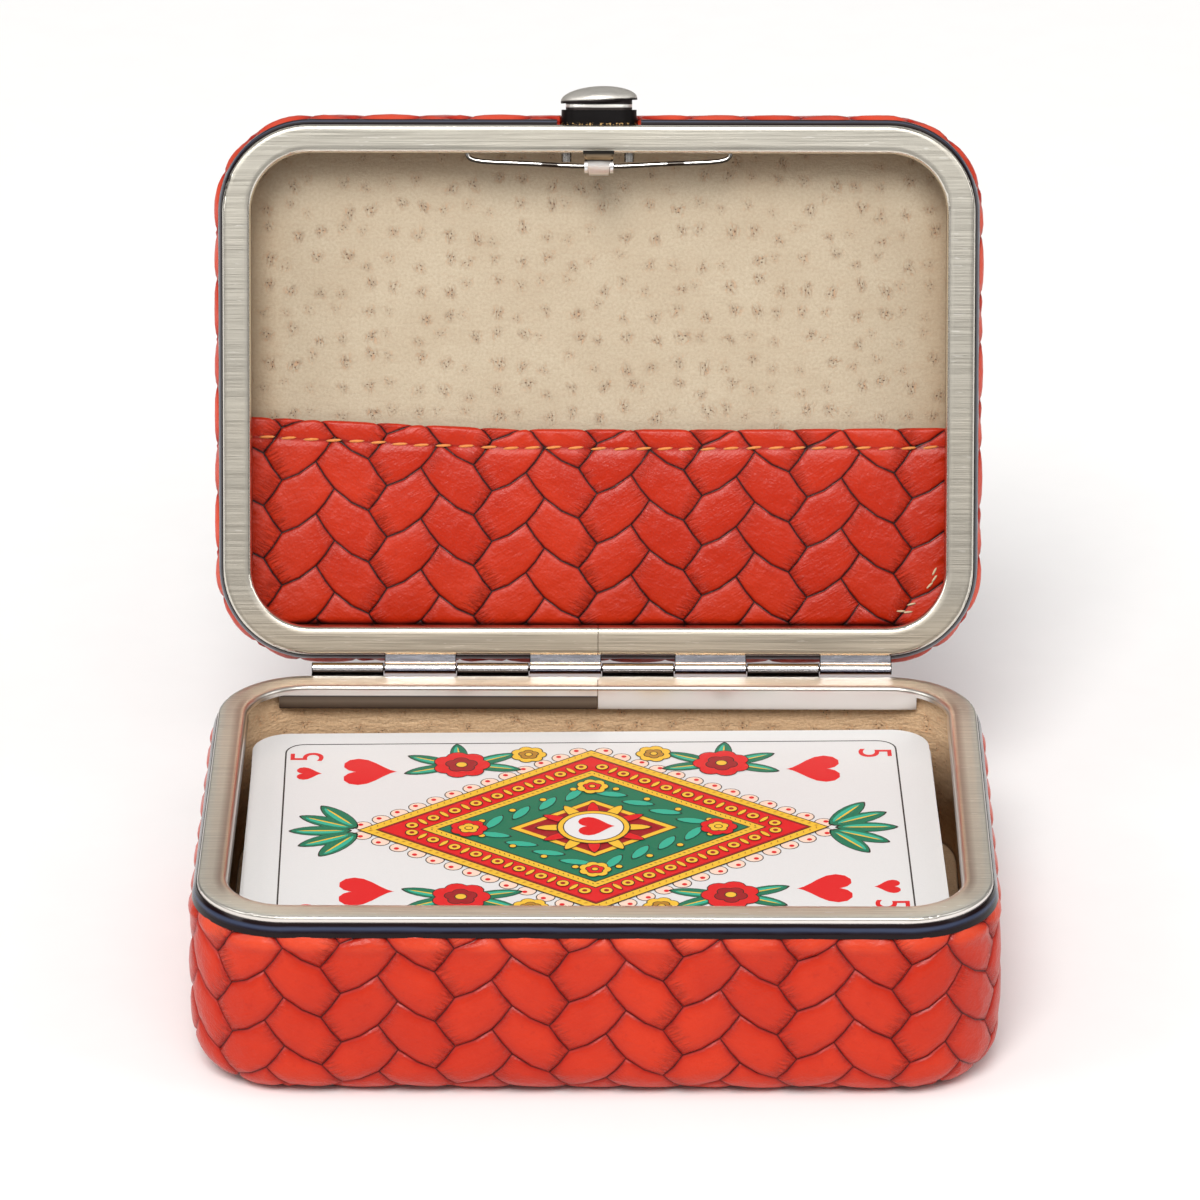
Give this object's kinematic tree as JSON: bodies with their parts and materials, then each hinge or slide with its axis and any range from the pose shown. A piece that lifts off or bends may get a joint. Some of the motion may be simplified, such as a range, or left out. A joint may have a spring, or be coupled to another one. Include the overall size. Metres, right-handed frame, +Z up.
{
  "type": "hinged leather playing card case",
  "caption": "Hinged leather case for a deck of playing cards, metal rims on a piano hinge, push-button spring latch and a leather pocket in the lid.",
  "frame": {"origin": "centre of the metal rim's outline, on the underside of the tray", "axes": "+X to the right along the hinge, +Y from the button side to the hinge side, +Z up"},
  "size_m": [0.1046, 0.1114, 0.0996],
  "materials": {
    "brushed_rim": "warm brushed nickel with polished edges",
    "black_bead": "glossy black",
    "woven_leather": "orange-red woven-embossed leather, satin",
    "board": "plain board",
    "lining": "matte beige suede with pores",
    "polished_hinge": "polished nickel",
    "card_edge": "cut edges of white card",
    "card_face": "white card with a plain printed design",
    "pocket_leather": "orange-red woven-embossed leather, satin",
    "black_collar": "satin black",
    "latch_steel": "bright nickel",
    "spring_wire": "bright round wire",
    "brushed_button": "fine brushed nickel dome"
  },
  "bodies": {
    "tray": {"tray_frame": "brushed_rim", "tray_edge_bead": "black_bead", "tray_leather": "woven_leather", "tray_core": "board", "tray_wall_lining": "lining", "tray_floor_lining": "lining", "tray_hinge_knuckles": "polished_hinge", "hinge_pin": "polished_hinge", "card_deck": "card_edge", "top_card": "card_face"},
    "lid": {"lid_frame": "brushed_rim", "lid_edge_bead": "black_bead", "lid_leather": "woven_leather", "lid_core": "board", "lid_wall_lining": "lining", "lid_floor_lining": "lining", "lid_pocket": "pocket_leather", "lid_hinge_knuckles": "polished_hinge", "latch_collar": "black_collar", "collar_rivets": "latch_steel", "latch_spring": "spring_wire"},
    "latch": {"latch_button": "brushed_button", "latch_stem": "latch_steel", "latch_hook": "latch_steel"}
  },
  "joints": [
    {"name": "lid_hinge", "type": "hinge", "parent": "tray", "child": "lid", "pos_m": [0, 0.0378, 0.0262], "axis": [1, 0, 0], "range_deg": [0, 110]},
    {"name": "latch_press", "type": "slide", "parent": "lid", "child": "latch", "axis": [0, -0.342, -0.9397], "range_m": [0, 0.00075], "stiffness_N_per_m": 1000, "springref_m": -0.0005, "deforming": ["latch_spring"]}
  ]
}
